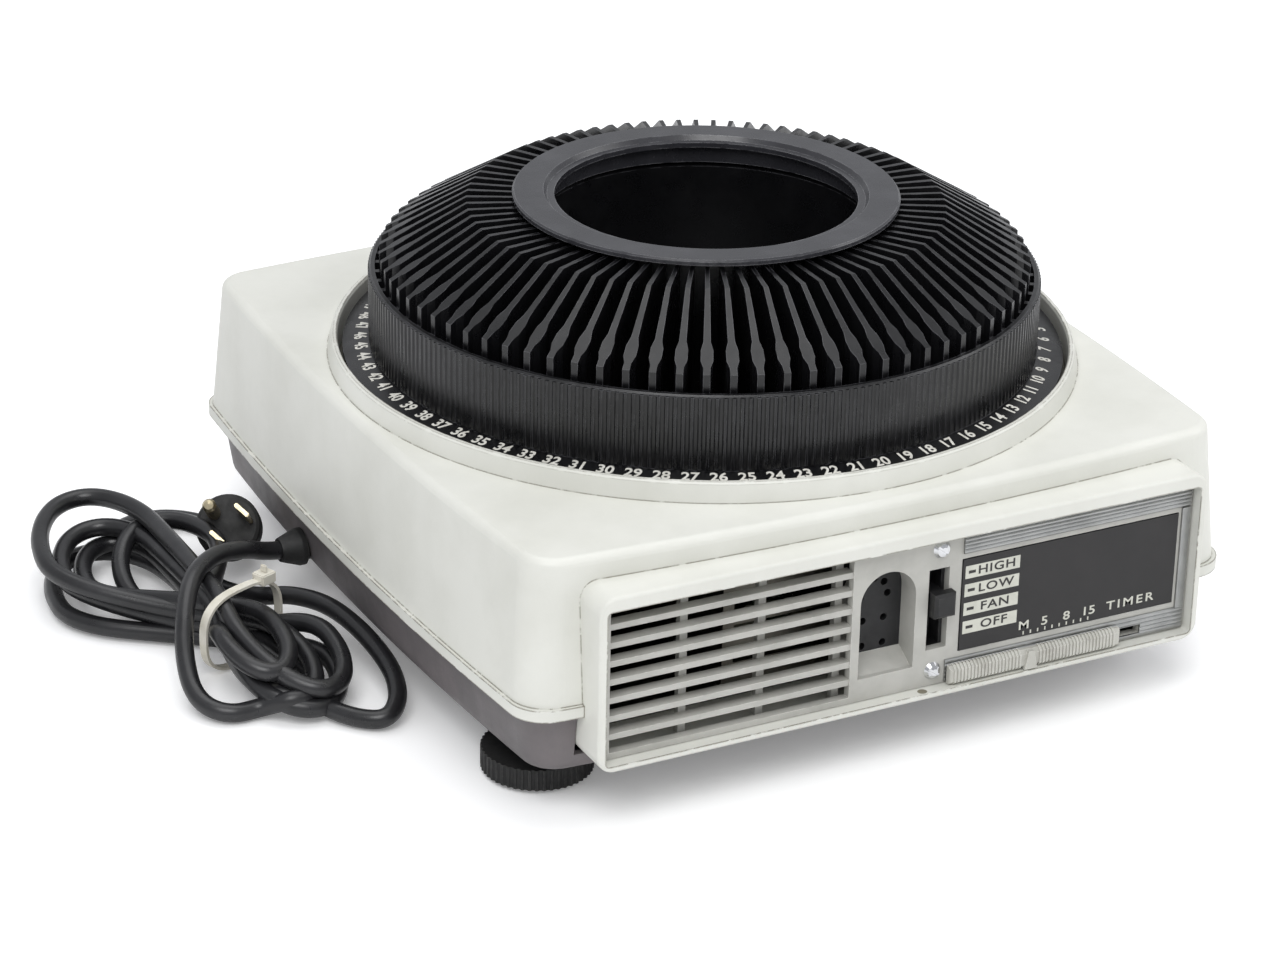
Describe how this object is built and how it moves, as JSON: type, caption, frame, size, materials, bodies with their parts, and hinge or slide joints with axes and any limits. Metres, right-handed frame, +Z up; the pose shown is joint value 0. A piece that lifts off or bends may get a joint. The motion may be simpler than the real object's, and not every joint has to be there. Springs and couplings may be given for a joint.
{
  "type": "slide projector",
  "caption": "Slide projector with a round rotary slide tray on top, rear control panel with louvre grille, front lens and mains lead.",
  "frame": {"origin": "on the table under the middle of the housing", "axes": "+Z up, +Y towards the screen on the lens side, -Y the rear control panel, +X the operator's right-hand side"},
  "size_m": [0.3596, 0.296, 0.148],
  "materials": {
    "cover_paint": "satin",
    "pan_brown": "textured",
    "chassis_steel": "satin",
    "panel_grey": "satin",
    "black_plastic": "gloss",
    "black_matte": "matte",
    "trim_aluminium": "brushed",
    "screw_chrome": "polished",
    "plate_black": "satin",
    "knob_grey": "satin",
    "lens_glass": "clear",
    "mirror_glass": "polished",
    "foot_rubber": "matte",
    "gear_nylon": "satin",
    "brass_part": "satin",
    "cord_rubber": "satin",
    "tie_nylon": "satin"
  },
  "bodies": {
    "housing": {"top_cover": "cover_paint", "base_pan": "pan_brown", "well_floor": "chassis_steel", "rear_panel": "panel_grey", "grille_bars": "panel_grey", "trim_strips": "trim_aluminium", "nameplate": "plate_black", "case_screws": "screw_chrome", "remote_socket": "black_matte", "switch_body": "black_matte", "timer_body": "black_matte", "tray_spindle": "black_matte", "lens_guide": "trim_aluminium", "condenser_lenses": "lens_glass", "heat_glass": "lens_glass", "mirror": "mirror_glass", "optics_bracket": "chassis_steel", "gate_frame": "chassis_steel", "gate_spring": "brass_part", "lifter_bracket": "chassis_steel", "lamp_house": "chassis_steel", "lamp_socket": "gear_nylon", "lamp": "lens_glass", "lamp_reflector": "mirror_glass", "motor": "chassis_steel", "fan_housing": "chassis_steel", "cam_frame": "chassis_steel", "transformer": "chassis_steel", "solenoid": "brass_part", "mech_plate": "chassis_steel", "side_panel": "panel_grey", "foot_guide": "black_matte", "rubber_foot": "foot_rubber", "cord_hank": "cord_rubber", "power_cord": "cord_rubber", "cable_tie": "tie_nylon", "strain_relief": "black_matte", "plug": "black_matte"},
    "tray_lift": {"tray_plate": "chassis_steel"},
    "tray": {"tray_body": "black_plastic", "tray_fins": "black_plastic"},
    "lock": {"lock_ring": "black_plastic"},
    "lens": {"lens_barrel": "black_matte", "lens_glasses": "lens_glass"},
    "focus": {"focus_knob": "black_matte"},
    "power_switch": {"switch_knob": "black_plastic"},
    "timer": {"timer_slider": "knob_grey"},
    "forward": {"forward_button": "knob_grey"},
    "reverse": {"reverse_button": "knob_grey"},
    "select": {"select_bar": "knob_grey"},
    "level_foot": {"level_pad": "foot_rubber"},
    "level_screw": {"level_wheel": "black_matte"},
    "front_leg": {"elevate_foot": "foot_rubber"},
    "fan": {"motor_shaft": "chassis_steel", "fan_wheel": "trim_aluminium"},
    "cam": {"cam_gear": "gear_nylon", "cam_shaft": "chassis_steel"},
    "shutter_blade": {"shutter": "chassis_steel"},
    "lift_lever": {"slide_lifter": "chassis_steel"},
    "solenoid_core": {"solenoid_plunger": "chassis_steel"}
  },
  "joints": [
    {"name": "tray_lift", "type": "slide", "parent": "housing", "child": "tray_lift", "axis": [0, 0, 1], "range_m": [0, 0.065]},
    {"name": "tray_turn", "type": "hinge", "parent": "tray_lift", "child": "tray", "pos_m": [0.002, 0, 0.09], "axis": [0, 0, 1], "continuous": true},
    {"name": "lock_ring_turn", "type": "hinge", "parent": "tray", "child": "lock", "pos_m": [0.002, 0, 0.146], "axis": [0, 0, 1], "range_deg": [0, 20]},
    {"name": "lens_focus", "type": "slide", "parent": "housing", "child": "lens", "axis": [0, 1, 0], "range_m": [-0.01, 0.014]},
    {"name": "focus_turn", "type": "hinge", "parent": "housing", "child": "focus", "pos_m": [0.118, 0.066, 0.06], "axis": [0, 0, 1], "range_deg": [-180, 130]},
    {"name": "power_switch", "type": "slide", "parent": "housing", "child": "power_switch", "axis": [0, 0, 1], "range_m": [-0.0125, 0.007]},
    {"name": "timer_slide", "type": "slide", "parent": "housing", "child": "timer", "axis": [1, 0, 0], "range_m": [0, 0.025]},
    {"name": "forward_press", "type": "slide", "parent": "housing", "child": "forward", "axis": [-1, 0, 0], "range_m": [0, 0.0025], "stiffness_N_per_m": 300},
    {"name": "reverse_press", "type": "slide", "parent": "housing", "child": "reverse", "axis": [-1, 0, 0], "range_m": [0, 0.0025], "stiffness_N_per_m": 300},
    {"name": "select_press", "type": "slide", "parent": "housing", "child": "select", "axis": [-1, 0, 0], "range_m": [0, 0.002], "stiffness_N_per_m": 400},
    {"name": "level_rise", "type": "slide", "parent": "housing", "child": "level_foot", "axis": [0, 0, 1], "range_m": [-0.006, 0.0045]},
    {"name": "level_turn", "type": "hinge", "parent": "level_foot", "child": "level_screw", "pos_m": [-0.108, -0.098, 0.005], "axis": [0, 0, 1], "range_deg": [-1450, 1090]},
    {"name": "front_leg_drop", "type": "slide", "parent": "housing", "child": "front_leg", "axis": [0, 0, 1], "range_m": [-0.018, 0]},
    {"name": "fan_spin", "type": "hinge", "parent": "housing", "child": "fan", "pos_m": [-0.075, 0, 0.055], "axis": [0, 1, 0], "continuous": true},
    {"name": "cam_turn", "type": "hinge", "parent": "housing", "child": "cam", "pos_m": [-0.045, 0.05, 0.055], "axis": [0, 1, 0], "continuous": true},
    {"name": "shutter_slide", "type": "slide", "parent": "housing", "child": "shutter_blade", "axis": [-1, 0, 0], "range_m": [0, 0.042]},
    {"name": "slide_lift", "type": "hinge", "parent": "housing", "child": "lift_lever", "pos_m": [0.02, 0, 0.04], "axis": [0, -1, 0], "range_deg": [0, 32]},
    {"name": "solenoid_pull", "type": "slide", "parent": "housing", "child": "solenoid_core", "axis": [0, 1, 0], "range_m": [0, 0.006], "stiffness_N_per_m": 60}
  ],
  "couplings": [
    {"joint": "focus_turn", "follows": "lens_focus", "rad_per_m": -222.22},
    {"joint": "level_turn", "follows": "level_rise", "rad_per_m": 4188.8},
    {"joint": "cam_turn", "follows": "fan_spin", "ratio": -0.33333}
  ]
}
